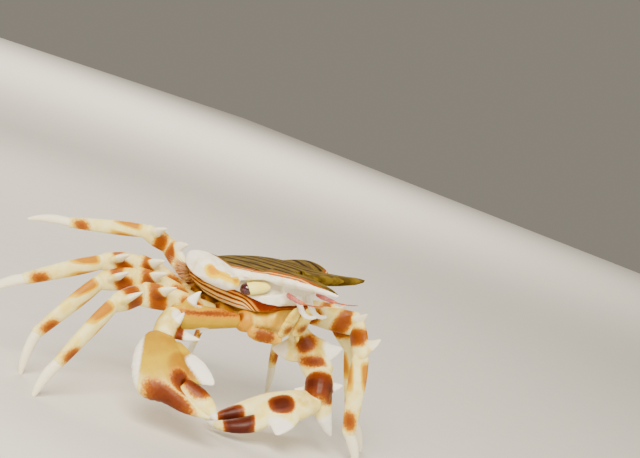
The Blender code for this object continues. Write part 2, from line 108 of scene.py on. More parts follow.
# ---- eyes and their sockets
EYE_ROOT = Vector((2.45, 4.55, -0.95))
EYE_TIP = Vector((4.05, 3.25, -1.35))
# the stalk's radii, as (share of the way out, radius)
STALK = ((-0.05, 0.12), (0.03, 0.27), (0.15, 0.38), (0.35, 0.46), (0.60, 0.50), (0.80, 0.47), (0.95, 0.36),
         (1.05, 0.18))
CORNEA_RADIUS = 0.51
CORNEA_FORM = (1.0, 0.96, 1.12)
CORNEA_PLACE = 0.80
# where the cornea ends on its stalk: a point of the cut, and which way is inwards
CORNEA_CUT = ((0.0, 0.0, -0.1), (0.0, 0.25, -1.0))
# the socket's room round the cornea, and how far it runs past the eye's ends
SOCKET_ROOM = 0.14
SOCKET_OVERRUN = 1.0

# ---- sternum, as (forward, half width, roof, keel)
STERNUM_RINGS = (
    (-4.3, 1.3, 1.3, 2.1),
    (-3.6, 2.0, 1.5, 3.0),
    (-2.2, 2.7, 1.9, 3.9),
    (-0.6, 2.9, 2.3, 4.5),
    (1.0, 2.8, 2.6, 4.9),
    (2.4, 2.6, 2.8, 5.1),
    (3.6, 2.1, 2.8, 4.9),
    (4.6, 1.5, 2.6, 4.3),
)
# the stubs that carry the limbs: radius, how much wider the claws' are, where
# they start inside the hip as (in, down), and their form as (share of the way
# to the hip, radii past it, share of the radius)
COXA_RADIUS = 0.78
CLAW_COXA = 1.15
COXA_START = (1.5, 0.2)
COXA_FORM = ((0.0, 0.0, 0.9), (0.6, 0.0, 1.0), (1.0, 0.55, 0.95), (1.0, 0.9, 0.55))
# radius of the dark spot on each stub, and how far above the hip it lies
HIP_SPOT = 0.35
# the outer plate of each third maxilliped: its ends, half width and half
# thickness, its form, and the stretch and width of its dark streak
MOUTH_PLATE = (Vector((2.7, 3.4, -4.7)), Vector((1.0, 5.0, -5.0)), 0.55, 0.24)
MOUTH_PLATE_FORM = ((-0.08, 0.4), (0.0, 0.7), (0.2, 0.95), (0.5, 1.0), (0.8, 0.85), (1.0, 0.6), (1.08, 0.35))
MOUTH_PLATE_STREAK = (0.35, 0.6, 0.30)
# the folded abdomen, as (forward, half width)
ABDOMEN_RINGS = ((-4.2, 1.1), (-3.6, 1.5), (-2.2, 1.6), (-0.6, 1.25), (1.0, 0.55))
ABDOMEN_THICKNESS = 0.5
# segments in each stretch of that table
ABDOMEN_FOLDS = 2

# ---- feelers, as (radius, root, bend, tip), and the mouthparts between them
FEELER_RINGS = 9
ANTENNULE = (0.30, Vector((0.55, 5.95, -1.5)), Vector((0.7, 6.5, -3.2)), Vector((0.6, 7.8, -2.7)))
ANTENNA = (0.23, Vector((1.7, 5.9, -1.35)), Vector((1.9, 7.7, -1.9)), Vector((2.0, 9.6, -1.5)))
MOUTHPART_ENDS = (Vector((0.82, 5.1, -4.5)), Vector((0.78, 6.1, -2.55)))
MOUTHPART_SPOT = 0.25
MOUTHPART = ((0.0, 0.62, 0.24, 0.24), (0.4, 0.70, 0.30, 0.28), (0.55, 0.60, 0.26, 0.24),
             (0.62, 0.70, 0.30, 0.28), (1.0, 0.50, 0.20, 0.20))

# ---- limbs: the hip is (side, forward, up) in the body's own frame
HIPS = {
    1: (2.5, 2.7, -3.95),
    2: (3.3, 0.7, -3.6),
    3: (3.4, -0.9, -3.3),
    4: (3.2, -2.4, -2.95),
    5: (2.5, -3.6, -2.5),
}
LEG_LENGTHS = {
    2: (6.4, 2.8, 6.2, 3.0),
    3: (5.8, 2.8, 6.2, 3.4),
    4: (5.2, 2.7, 6.2, 3.3),
    5: (4.0, 2.4, 6.2, 3.4),
}
LEG_SIZE = {2: 1.12, 3: 1.05, 4: 1.0, 5: 0.88}
LEG_PIECES = ("merus", "carpus", "propodus", "dactyl")

# yaw from straight ahead, positive to the crab's left, and pitch above level;
# a pitch of None lets the dactyl reach down to the floor
LEG_POSES = {
    (2, "right"): ((-118, -4), (-83, -19), (-78, -49), (-90, None)),
    (3, "right"): ((-127, 2), (-110, -19), (-93, -49), (-90, None)),
    (4, "right"): ((-128, 10), (-117, -12), (-104, -25), (-136, -38)),
    (5, "right"): ((-164, 34), (-108, 16), (-145, -14), (-133, -14)),
    (2, "left"): ((36, 9), (-17, -47), (42, -79), (60, None)),
    (3, "left"): ((47, 7), (48, -42), (61, -69), (62, None)),
    (4, "left"): ((107, 8), (108, -41), (112, -67), (112, None)),
    (5, "left"): ((152, 5), (139, -44), (140, -66), (140, None)),
}
# how far below the floor a standing toe aims, before it is cut at the floor
FOOT_TRIM = 0.12
# where a leg's merus and a claw's begin, past the stub, as shares of their length
LEG_START = 0.12
ARM_START = 0.14

# ---- limb pieces, as (place along, half thickness, height up, height down)
MERUS = ((0.0, 0.40, 0.45, 0.45), (0.3, 0.42, 0.62, 0.55), (0.7, 0.45, 0.98, 0.78),
         (1.0, 0.42, 0.94, 0.80))
CARPUS = ((0.0, 0.40, 0.80, 0.70), (0.5, 0.45, 0.95, 0.80), (1.0, 0.40, 0.74, 0.66))
PROPODUS = ((0.0, 0.38, 0.64, 0.56), (0.3, 0.42, 0.74, 0.62), (0.7, 0.38, 0.64, 0.54),
            (1.0, 0.34, 0.52, 0.45))
DACTYL = ((0.0, 0.32, 0.44, 0.38), (0.35, 0.32, 0.45, 0.38), (0.75, 0.26, 0.32, 0.27),
          (1.0, 0.14, 0.14, 0.12))
SECTIONS = {"merus": MERUS, "carpus": CARPUS, "propodus": PROPODUS, "dactyl": DACTYL}
DACTYL_HOOK = 0.35

# ---- spines of the legs; each stands off its chord by SPINE_BOW of its length
SPINE_LEAN = Vector((0.0, -0.78, 0.62))
SPINE_BOW = 0.12
SPINE_LENGTH = {"merus": 2.15, "carpus": 2.0}
SPINE_WIDTH = 0.68
SPINE_THICKNESS = 0.34
SPINE_PLACE = {"merus": 0.84, "carpus": 0.70}

# ---- chelipeds
CHELIPED_MERUS = ((0.0, 0.50, 0.58, 0.58), (0.4, 0.62, 0.85, 0.75), (0.8, 0.72, 1.05, 0.95),
                  (1.0, 0.70, 0.98, 0.90))
CHELIPED_CARPUS = ((0.0, 0.75, 0.95, 0.85), (0.5, 0.95, 1.15, 1.05), (1.0, 0.80, 0.95, 0.90))
HAND = ((0.0, 0.70, 0.85, 0.80), (0.14, 0.95, 1.40, 1.30), (0.36, 1.05, 1.75, 1.60),
        (0.50, 0.98, 1.55, 1.50), (0.62, 0.75, 0.55, 1.25), (0.80, 0.48, 0.30, 0.75),
        (1.0, 0.16, 0.14, 0.16))
# how much deeper the heel of each hand is than the table says
HAND_HEEL = {"right": 1.5, "left": 1.0}
HEEL_END = 0.6
FINGER = ((0.0, 0.62, 0.75, 0.55), (0.3, 0.60, 0.95, 0.55), (0.7, 0.42, 0.68, 0.36),
          (1.0, 0.14, 0.12, 0.12))
ARM_SIZE = {"right": 1.0, "left": 1.25}
# the moving finger's line above the hand's, as (share along the hand, height)
FINGER_RISE = ((0.52, 0.95), (0.78, 1.35), (1.0, 0.55))
# (length, yaw, pitch) of each piece, and which way the hand's back faces
CLAW_POSES = {
    "right": {"merus": (5.9, -114, -11), "carpus": (2.4, -52, -33), "palm": (4.6, -33, -41),
              "fingers": (4.3, 41, -8), "dorsal": Vector((0.64, -0.75, 0.10))},
    "left": {"merus": (5.0, 31, -41), "carpus": (2.4, -38, -45), "palm": (4.6, -115, -26),
             "fingers": (4.2, -128, -23), "dorsal": Vector((-0.25, -0.92, -0.30))},
}

# spines and lobes of the chelipeds, as (place along, reach from the centre
# line to the tip, half width, half thickness)
CLAW_SPINES = {
    ("right", "merus"): ((0.84, (0.25, -0.45, 2.30), 0.70, 0.45), (0.45, (-0.60, 0.30, -1.35), 0.60, 0.40)),
    ("right", "carpus"): ((0.50, (1.70, -2.00, -0.10), 0.65, 0.45), (0.60, (0.45, -0.75, 1.60), 0.70, 0.60)),
    ("right", "palm"): ((0.31, (2.50, -3.00, 0.05), 1.60, 0.55), (0.17, (1.55, -1.90, 0.05), 1.30, 0.60),
                        (0.12, (-1.10, 0.90, -1.50), 0.60, 0.50)),
    ("left", "merus"): ((0.52, (1.80, -2.10, 0.95), 1.30, 0.55), (0.47, (-1.55, 1.75, -1.10), 1.25, 0.55)),
    ("left", "carpus"): ((0.38, (1.60, -1.70, -3.60), 1.15, 1.00), (0.40, (1.20, -1.40, 0.65), 0.70, 0.45),
                         (0.55, (-1.20, 1.35, -0.65), 0.60, 0.40)),
    ("left", "palm"): ((0.34, (-1.70, -2.10, -1.40), 1.45, 0.50), (0.12, (0.60, -0.60, 1.55), 0.60, 0.50)),
}


# ======== places
def body_matrix():
    lift = Matrix.Translation((-CENTRE_X, -CENTRE_Y, BODY_HEIGHT))
    nose = Matrix.Rotation(math.radians(-NOSE_UP), 4, "X")
    roll = Matrix.Rotation(math.radians(-LEFT_SIDE_UP), 4, "Y")
    return lift @ nose @ roll


BODY = body_matrix()
BODY_INVERSE = BODY.inverted()
BODY_UP = (BODY.to_3x3() @ Vector((0.0, 0.0, 1.0))).normalized()
BODY_SIDE = (BODY.to_3x3() @ Vector((1.0, 0.0, 0.0))).normalized()


def on_body(side, forward, up):
    """A point given as (side, forward, up) of the body, in the crab's frame."""
    return BODY @ Vector((side, -forward, up))


def mirrored(sign, point):
    """A point given for the left side, on the side of this sign."""
    return on_body(sign * point.x, point.y, point.z)


def body_place(point):
    """(side, forward, up) of a point of the crab's frame."""
    local = BODY_INVERSE @ point
    return local.x, -local.y, local.z


def heading(yaw, pitch):
    """Unit vector for a yaw from straight ahead and a pitch above level."""
    yaw = math.radians(yaw)
    pitch = math.radians(pitch)
    return Vector((math.sin(yaw) * math.cos(pitch), -math.cos(yaw) * math.cos(pitch), math.sin(pitch)))


def limb_frame(start, along, top):
    """A frame at start: Z along the limb, Y towards top, X across."""
    along = along.normalized()
    rise = (top - along * top.dot(along)).normalized()
    across = rise.cross(along)
    frame_axes = Matrix((across, rise, along)).transposed().to_4x4()
    return Matrix.Translation(start) @ frame_axes


def bowed(start, middle, end):
    """A quadratic curve from start to end that leans towards middle."""
    return lambda t: start * (1 - t) ** 2 + middle * (2 * t * (1 - t)) + end * t ** 2


def from_line(point, start, end):
    """Distance of a point from the straight line between two others."""
    along = end - start
    share = min(1.0, max(0.0, (point - start).dot(along) / along.length_squared))
    return (point - start - along * share).length


# how square the dark marks are: 2 would be an ellipse
BLOCKINESS = 2.6


def blocky(a, b):
    """Distance from the middle of a shape between an ellipse and a rectangle."""
    return (abs(a) ** BLOCKINESS + abs(b) ** BLOCKINESS) ** (1.0 / BLOCKINESS)


def smooth_step(low, high, value):
    """0 at low, 1 at high, eased between; low may be the larger."""
    share = min(1.0, max(0.0, (value - low) / (high - low)))
    return share * share * (3.0 - 2.0 * share)


def between(rings, place, column):
    """A column of a ring table, read between its rings."""
    for near, far in zip(rings, rings[1:]):
        if place <= far[0]:
            share = max(0.0, (place - near[0]) / (far[0] - near[0]))
            return near[column] + (far[column] - near[column]) * share
    return rings[-1][column]


# ======== materials
# grains to the millimetre.  The pits of crab shell and the facets of its eye
# are a few hundredths of a millimetre wide; they are drawn coarser, to show
PITS = 4.2
SPECKS = 6.0
BLOTS = 1.1
CREAM_BLOTS = 1.6
STREAKS = 4.5
FACETS = 9.0
HAIR_SHADES = 3.0
# how much slower the streaks of the back change along it than across
STREAK_STRETCH = 0.16

# fields painted on the meshes, which drive the colours
SHELL_FIELDS = ("mark", "warm", "pale")
CARAPACE_FIELDS = ("lane", "ahead", "inset", "wall", "pale", "warm")

# ---- stripes of the back, and colours by the distance inside its rim and by
# the share of the way down the side wall
STRIPE_SPACING = 1.25
# how the stripes close up forward, by this share for each millimetre, and how
# far and where they grow thin on the front teeth
STRIPE_SPREAD = 0.06
STRIPE_NARROWING = 0.45
STRIPE_THINNING = (4.4, 8.0)
# where other colours of the carapace come in, from none to all: how little a
# face looks up to count as rim or side, and how far forward its white starts
FACING_OUT = (0.80, 0.55)
WHITE_AHEAD = (-1.0, 0.5)
# how far from the middle the lateral tooth's yolk-yellow painted shade and its white start
TOOTH_YOLK_SHADE_REACH = (4.1, 4.6)
TOOTH_WHITE = (4.7, 5.4)
# where the ruled wall closes in front, into one dark band
WALL_CLOSING = (2.8, 4.0)
RIM_COLOURS = (
    (0.0, "#FFFBEC"), (0.14, "#FFF3D0"), (0.18, "#A8500F"), (0.30, "#B8641A"),
    (0.34, "#E8C070"), (0.40, "#D8A048"), (0.45, "#8A3E0C"), (0.80, "#8A5A20"),
)
RIM_END = RIM_COLOURS[-1][0]
WALL_COLOURS = (
    (0.0, "#5A1C08"), (0.08, "#7E2E0C"), (0.13, "#D88A2C"), (0.18, "#E8A83C"),
    (0.23, "#7A2A0C"), (0.31, "#8A3810"), (0.36, "#F2BC54"), (0.43, "#FFD878"),
    (0.48, "#7E2E0C"), (0.56, "#93400F"), (0.61, "#FFDA80"), (0.70, "#FFE498"),
    (0.75, "#8A3810"), (0.80, "#B0601A"), (0.84, "#FFE8A8"), (1.0, "#F2CC78"),
)


def linear(hex_colour):
    """An sRGB hex colour as linear red, green, blue and alpha."""
    parts = [int(hex_colour[i:i + 2], 16) / 255.0 for i in (1, 3, 5)]
    return (*(p / 12.92 if p <= 0.04045 else ((p + 0.055) / 1.055) ** 2.4 for p in parts), 1.0)


def plug(tree, node, inputs):
    """Links each input that is given as a socket, and sets any other."""
    for name, value in inputs.items():
        if isinstance(value, bpy.types.NodeSocket):
            tree.links.new(value, node.inputs[name])
        else:
            node.inputs[name].default_value = value


def add(tree, kind, inputs=None, **settings):
    """Adds a shader node with its settings and inputs."""
    made = tree.nodes.new("ShaderNode" + kind)
    for name, value in settings.items():
        setattr(made, name, value)
    plug(tree, made, inputs or {})
    return made


def new_material(name):
    """A material, its tree and shader, and object coordinates in millimetres."""
    material = bpy.data.materials.new(name)
    material.use_nodes = True
    tree = material.node_tree
    place = add(tree, "VectorMath", {0: add(tree, "TexCoord").outputs["Object"], "Scale": 1.0 / MM},
                operation="SCALE").outputs["Vector"]
    return material, tree, tree.nodes["Principled BSDF"], place


def wandering(tree, field, noise, reach):
    """A field pushed to and fro by up to half of reach, so its edge isn't ruled."""
    push = add(tree, "Math", {0: noise, 1: 0.5}, operation="SUBTRACT").outputs[0]
    return add(tree, "Math", {0: push, 1: reach, 2: field}, operation="MULTIPLY_ADD").outputs[0]


def coated(tree, ground, *coats):
    """A ground colour under coats of (field, low, high, colour), in turn; each
    comes in as its field goes from low to high, and a colour is hex or a socket."""
    for field, low, high, coat in coats:
        share = add(tree, "MapRange", {"Value": field, "From Min": low, "From Max": high},
                    interpolation_type="SMOOTHSTEP").outputs["Result"]
        under, over = (linear(c) if isinstance(c, str) else c for c in (ground, coat))
        ground = add(tree, "Mix", {"Factor": share, 6: under, 7: over}, data_type="RGBA").outputs[2]
    return ground


def wavy_lines(tree, field, noise, reach, lines):
    """Lines of (place, hex colour), read at a field that wanders a little."""
    band = add(tree, "ValToRGB", {"Fac": wandering(tree, field, noise, reach)})
    row = band.color_ramp.elements
    row[0].position, row[0].color = lines[0][0], linear(lines[0][1])
    row[1].position, row[1].color = lines[-1][0], linear(lines[-1][1])
    for place, hue in lines[1:-1]:
        row.new(place).color = linear(hue)
    return band.outputs["Color"]


def chitin(tree, shader, place, fine, colour, gloss, shine=0.22):
    """The surface of crab shell: finely pitted, faintly translucent."""
    pits = add(tree, "TexVoronoi", {"Vector": place, "Scale": PITS}).outputs["Distance"]
    rough = add(tree, "MapRange", {"Value": fine, "To Min": gloss - 0.06, "To Max": gloss + 0.14})
    grain = add(tree, "Math", {0: pits, 1: 0.35, 2: fine}, operation="MULTIPLY_ADD").outputs[0]
    bump = add(tree, "Bump", {"Height": grain, "Strength": 0.35, "Distance": 0.03 * MM})
    plug(tree, shader, {
        "Base Color": colour,
        "Roughness": rough.outputs["Result"],
        "Normal": bump.outputs["Normal"],
        "IOR": 1.45,
        "Specular IOR Level": shine,
        "Subsurface Weight": 0.05,
        "Subsurface Scale": 0.3 * MM,
        "Subsurface Radius": (1.0, 0.6, 0.3),
        "Coat Weight": 0.25 * shine,
        "Coat Roughness": 0.25,
    })


def painted_shell(name, ground, shade, yolk, orange, mark, mark_rim, halo, core="#54200A", tip="#FFFDF2",
                  gloss=0.42):
    """Crab shell: calcified chitin, grown in one skin and coloured through it.

    Three painted fields drive its colours: "mark" is the distance in
    millimetres inside a dark mark, "warm" runs from the ground colour past
    yolk to orange, and "pale" is the share of white at rims and spine tips.
    """
    material, tree, shader, place = new_material(name)
    blot, fine = (add(tree, "TexNoise", {"Vector": place, "Scale": scale, "Detail": detail}).outputs["Fac"]
                  for scale, detail in ((BLOTS, 4.0), (SPECKS, 5.0)))
    inside, warm, pale = (add(tree, "Attribute", attribute_name=field).outputs["Fac"]
                          for field in SHELL_FIELDS)
    warm = wandering(tree, warm, blot, 0.3)
    inside = wandering(tree, inside, fine, 0.35)
    pale = wandering(tree, pale, fine, 0.4)
    dark = coated(tree, mark_rim, (inside, 0.05, 0.35, mark), (inside, 0.35, 0.95, core))
    colour = coated(tree, ground, (blot, 0.35, 0.7, shade), (warm, 0.1, 0.5, yolk), (warm, 0.5, 1.0, orange),
                    (inside, -0.28, 0.02, halo), (inside, -0.08, 0.10, dark), (pale, 0.3, 0.8, tip))
    chitin(tree, shader, place, fine, colour, gloss)
    return material


def striped_carapace():
    """Carapace chitin: a brown back, streaked and striped lengthwise, a white
    rim with orange lines inside it, and a side wall ruled with dark, orange
    and yellow lines.

    "lane" and "ahead" run across and along the back in millimetres, "inset"
    is the distance inside the rim, and "wall" the share of the way down the
    ruled part of the side wall; "pale" and "warm" are shares of white and of
    yolk yellow, the yellow being painted shade down the lateral teeth.
    """
    material, tree, shader, place = new_material("carapace_chitin")
    blot, fine = (add(tree, "TexNoise", {"Vector": place, "Scale": scale, "Detail": 5.0}).outputs["Fac"]
                  for scale in (CREAM_BLOTS, SPECKS))
    lane, ahead, inset, wall, pale, warm = (add(tree, "Attribute", attribute_name=field).outputs["Fac"]
                                            for field in CARAPACE_FIELDS)
    slow_ahead = add(tree, "Math", {0: ahead, 1: STREAK_STRETCH}, operation="MULTIPLY").outputs[0]
    along = add(tree, "CombineXYZ", {"X": lane, "Y": slow_ahead}).outputs["Vector"]
    streak = add(tree, "TexNoise", {"Vector": along, "Scale": STREAKS, "Detail": 4.0}).outputs["Fac"]
    off_stripe = add(tree, "Math", {0: lane, 1: STRIPE_SPACING / 2.0}, operation="PINGPONG").outputs[0]
    off_stripe = wandering(tree, off_stripe, streak, 0.35)
    rim = wavy_lines(tree, inset, fine, 0.10, RIM_COLOURS)
    ruled = wavy_lines(tree, wall, fine, 0.05, WALL_COLOURS)
    white = coated(tree, "#FFFBEC", (blot, 0.45, 0.75, "#EADFB8"))
    pale = wandering(tree, pale, fine, 0.3)
    warm = wandering(tree, warm, fine, 0.3)
    # the yolk and orange coats, led by "warm", are painted shade down the lateral teeth
    colour = coated(tree, "#705C1C", (streak, 0.40, 0.62, "#4A3A12"), (off_stripe, 0.24, 0.14, "#2C1802"),
                    (inset, RIM_END, RIM_END - 0.2, rim), (wall, -0.03, 0.0, ruled), (pale, 0.3, 0.7, white),
                    (warm, 0.1, 0.6, "#F4D000"), (warm, 0.6, 1.0, "#D89400"))
    chitin(tree, shader, place, fine, colour, 0.62, shine=0.02)
    return material


def cornea_material():
    """Facetted cornea: clear chitin over dark pigment, smooth as wet glass."""
    material, tree, shader, place = new_material("cornea_chitin")
    facets = add(tree, "TexVoronoi", {"Vector": place, "Scale": FACETS}).outputs["Distance"]
    bump = add(tree, "Bump", {"Height": facets, "Strength": 0.15, "Distance": 0.01 * MM})
    plug(tree, shader, {
        "Base Color": coated(tree, "#5A2030", (facets, 0.1, 0.7, "#260A16")),
        "Normal": bump.outputs["Normal"],
        "Roughness": 0.12,
        "IOR": 1.5,
        "Coat Weight": 0.6,
        "Coat Roughness": 0.05,
    })
    return material


def setae_material():
    """Setae: fine hollow hairs of chitin, from brown to straw."""
    material, tree, shader, place = new_material("setae_chitin")
    shade = add(tree, "TexNoise", {"Vector": place, "Scale": HAIR_SHADES}).outputs["Fac"]
    colour = add(tree, "Mix", {"Factor": shade, 6: linear("#9A5210"), 7: linear("#F0CC90")},
                 data_type="RGBA").outputs[2]
    plug(tree, shader, {"Base Color": colour, "Roughness": 0.6})
    return material


MATERIALS = {
    "carapace": striped_carapace(),
    "leg": painted_shell("leg_chitin", "#FFF6B0", "#F6E274", "#E6B810", "#BE7C04",
                         "#8C4408", "#A66008", "#E0A418", core="#783608", tip="#FFF9DC"),
    "claw": painted_shell("claw_chitin", "#FFF6B4", "#F8E67C", "#CCAA00", "#A87200",
                          "#6A2C08", "#8A4406", "#CC8810", core="#481608"),
    "underside": painted_shell("sternum_chitin", "#FCE878", "#E0BC3C", "#CC9010", "#9C5E04",
                               "#6A2E04", "#844206", "#C08A18"),
    "stalk": painted_shell("eyestalk_chitin", "#FFF48C", "#F6E258", "#E6C240", "#C89828",
                           "#6A1C0A", "#7A2412", "#D8B850", gloss=0.25),
    "feeler": painted_shell("feeler_chitin", "#CC8074", "#A84C50", "#D07018", "#B85408",
                            "#7A2C20", "#8A3A2C", "#E0A080"),
    "cornea": cornea_material(),
    "setae": setae_material(),
}


# ======== modelling
def only(*obs):
    """Selects these objects alone and makes the first active."""
    bpy.ops.object.select_all(action="DESELECT")
    for ob in obs:
        ob.select_set(True)
    bpy.context.view_layer.objects.active = obs[0]


def settled(ob):
    """Puts an object's place, turn and scale into its mesh."""
    only(ob)
    bpy.ops.object.transform_apply(location=True, rotation=True, scale=True)
    return ob


def joined(name, parts):
    """The parts as one object of this name."""
    only(*parts)
    if len(parts) > 1:
        bpy.ops.object.join()
    ob = bpy.context.active_object
    ob.name = name
    ob.data.name = name
    return ob


def drawn_out(stations, frame_matrix, sides=16):
    """A closed body drawn out along Z from a round face, ring by ring.

    A station is (z, y centre, half width, half height); the finished body is
    put in frame_matrix.
    """
    bpy.ops.object.select_all(action="DESELECT")
    bpy.ops.mesh.primitive_circle_add(vertices=sides, radius=1.0, fill_type="NGON")
    ob = bpy.context.active_object
    place, level, wide, high = stations[0]
    bpy.ops.object.mode_set(mode="EDIT")
    bpy.ops.transform.resize(value=(wide, high, 1.0), center_override=(0.0, 0.0, 0.0))
    bpy.ops.transform.translate(value=(0.0, level, place))
    for after in stations[1:]:
        step = {"value": (0.0, after[1] - level, after[0] - place)}
        bpy.ops.mesh.extrude_region_move(TRANSFORM_OT_translate=step)
        bpy.ops.transform.resize(value=(after[2] / wide, after[3] / high, 1.0),
                                 center_override=(0.0, after[1], after[0]))
        place, level, wide, high = after
    bpy.ops.mesh.select_all(action="SELECT")
    bpy.ops.mesh.normals_make_consistent(inside=False)
    bpy.ops.object.mode_set(mode="OBJECT")
    ob.matrix_world = frame_matrix
    return settled(ob)


def curve_through(before, near, far, after, t):
    """A number on the smooth curve from near to far, which bends to meet the
    ones before and after."""
    bend = 2 * before - 5 * near + 4 * far - after
    turn = 3 * near - before - 3 * far + after
    return near + 0.5 * t * (far - before + t * (bend + t * turn))


def eased(rings, steps=3):
    """A ring table with rings added between, on smooth curves through its own."""
    made = []
    for k, (near, far) in enumerate(zip(rings, rings[1:])):
        before, after = rings[max(0, k - 1)], rings[min(len(rings) - 1, k + 2)]
        for t in (step / steps for step in range(steps)):
            made.append(tuple(curve_through(*column, t) for column in zip(before, near, far, after)))
    made.append(rings[-1])
    return made


# how a limb piece closes past its end rings, as (share of the ring, way past it)
ROUNDED_END = ((0.85, 0.16), (0.45, 0.30))


def stations_of(rings, length, size=1.0, bow=0.0):
    """Ring table to stations, with rounded ends past the first and last ring."""
    made = []
    for place, thick, up, down in eased(rings):
        level = (up - down) / 2.0 * size + bow * 4.0 * place * (1.0 - place)
        made.append((place * length, level, thick * size, (up + down) / 2.0 * size))
    first, last = made[0], made[-1]
    for share, depth in ROUNDED_END:
        made.insert(0, (first[0] - depth * size, first[1], first[2] * share, first[3] * share))
        made.append((last[0] + depth * size, last[1], last[2] * share, last[3] * share))
    return made


# forms of a spine and of a broad lobe, as (place along, share of the root's width)
THORN = ((0.0, 1.0), (0.3, 0.86), (0.6, 0.60), (0.85, 0.32), (1.0, 0.08))
LOBE = ((0.0, 1.0), (0.35, 0.90), (0.65, 0.62), (0.86, 0.35), (0.96, 0.18), (1.0, 0.07))


def blade(root, tip, width, thick, top, bow=SPINE_BOW, form=THORN, sides=12):
    """A flattened, arched spine, lobe or plate."""
    along = tip - root
    length = along.length
    stations = [(t * length, bow * length * 4.0 * t * (1.0 - t), thick * share, width * share)
                for t, share in form]
    return drawn_out(stations, limb_frame(root, along, top), sides)


def applied(ob, kind, **settings):
    """Gives ob a modifier with these settings and applies it."""
    only(ob)
    made = ob.modifiers.new(kind.lower(), kind)
    for name, value in settings.items():
        setattr(made, name, value)
    bpy.ops.object.modifier_apply(modifier=made.name)


def fused(name, parts, grain, smoothing):
    """Parts run together into one surface, whose creases are eased."""
    ob = joined(name, parts)
    applied(ob, "REMESH", mode="VOXEL", voxel_size=grain)
    applied(ob, "SMOOTH", factor=0.5, iterations=smoothing)
    return ob


def paint(ob, fields, names):
    """Writes float fields on the points; fields gives a value for each name
    from a point and the way the surface faces there."""
    rows = [fields(vert.co, vert.normal) for vert in ob.data.vertices]
    for index, name in enumerate(names):
        layer = ob.data.attributes.new(name, "FLOAT", "POINT")
        layer.data.foreach_set("value", [row[index] for row in rows])


def trim_at_floor(ob):
    """Cuts off what would reach below the floor, and closes the cut."""
    only(ob)
    bpy.ops.object.mode_set(mode="EDIT")
    bpy.ops.mesh.select_all(action="SELECT")
    bpy.ops.mesh.bisect(plane_co=(0.0, 0.0, 0.0), plane_no=(0.0, 0.0, 1.0),
                        use_fill=True, clear_inner=True)
    bpy.ops.object.mode_set(mode="OBJECT")


def finished(ob, material, slot, *nodes):
    """Metres, smooth shading, material, and what the piece stands for."""
    ob.scale = (MM, MM, MM)
    settled(ob)
    bpy.ops.object.shade_smooth()
    ob.data.materials.clear()
    ob.data.materials.append(MATERIALS[material])
    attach(ob, "root")
    if nodes:
        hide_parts(*nodes)


def skin(name, parts, grain, fields, material, slot, node, names=SHELL_FIELDS, smoothing=6, on_floor=False):
    """One piece of shell: its parts fused, painted and finished, for its node."""
    ob = fused(name, parts, grain, smoothing)
    if on_floor:
        trim_at_floor(ob)
    paint(ob, fields, names)
    finished(ob, material, slot, node)


# ======== carapace
def body_frame(side, forward):
    """A frame at the body's middle: Z to its (side, forward), Y up."""
    middle = on_body(0.0, 0.0, 0.0)
    return limb_frame(middle, on_body(side, forward, 0.0) - middle, BODY_UP)


BODY_LINE = body_frame(0.0, 1.0)


def carve_sockets(parts):
    """Takes the room round both eyes out of the parts."""
    room = CORNEA_RADIUS + SOCKET_ROOM
    for sign in SIDES.values():
        root, tip = mirrored(sign, EYE_ROOT), mirrored(sign, EYE_TIP)
        ends = (-SOCKET_OVERRUN, (tip - root).length + SOCKET_OVERRUN)
        cutter = drawn_out([(place, 0.0, room, room) for place in ends],
                           limb_frame(root, tip - root, BODY_UP), sides=24)
        for part in parts:
            applied(part, "BOOLEAN", operation="DIFFERENCE", solver="EXACT", object=cutter)
        bpy.data.objects.remove(cutter, do_unlink=True)


def reshaped(ob, place):
    """Moves each point from its (side, forward, up) to place's."""
    for vert in ob.data.vertices:
        vert.co = on_body(*place(*body_place(vert.co)))
    return ob


def shell_place(x, forward, y):
    """A point of the carapace for a point of the unit circle round its axis."""
    half, rim, dome, depth = (between(CARAPACE_RINGS, forward, column) for column in (1, 2, 3, 4))
    if y >= 0.0:
        return half * x, forward, rim + dome * (1.0 - x * x)
    share = min(1.0, -y / WALL_EDGE)
    width = half * between(WALL_PROFILE, share, 1)
    if -y > WALL_EDGE:
        width *= abs(x) / math.sqrt(1.0 - WALL_EDGE ** 2)
    return math.copysign(width, x), forward, rim - (depth + rim) * share


def carapace_parts():
    """The shell of the back with its front, lateral and orbital teeth."""
    first, last = CARAPACE_RINGS[0][0], CARAPACE_RINGS[-1][0]
    blank = [(first + (last - first) * k / CARAPACE_STEPS, 0.0, 1.0, 1.0) for k in range(CARAPACE_STEPS + 1)]
    parts = [reshaped(drawn_out(blank, BODY_LINE, sides=72), shell_place)]
    for sign in SIDES.values():
        def horn_place(side, forward, up):
            twist = sign * HORN_TWIST * ((forward - HORN_RINGS[0][0]) / HORN_LENGTH) ** 2
            return side + sign * between(HORN_RINGS, forward, 1), forward, up + twist

        horn = [(forward, (up - down) / 2.0, half, (up + down) / 2.0)
                for forward, centre, half, up, down in HORN_RINGS]
        parts.append(reshaped(drawn_out(horn, BODY_LINE, sides=20), horn_place))
        rise = TOOTH_RISE[sign]

        def tooth_place(side, forward, up):
            centre = between(TOOTH_RINGS, abs(side), 1)
            return side, forward + centre, up - TOOTH_SLOPE * rise * forward

        tooth = [(side, (up * rise - down) / 2.0, half, (up * rise + down) / 2.0)
                 for side, forward, half, up, down in TOOTH_RINGS]
        parts.append(reshaped(drawn_out(tooth, body_frame(sign, 0.0), sides=20), tooth_place))
        root, tip, width, thick = ORBITAL_TOOTH
        parts.append(blade(mirrored(sign, root), mirrored(sign, tip), thick, width, BODY_UP, bow=0.0))
    carve_sockets(parts)
    return parts


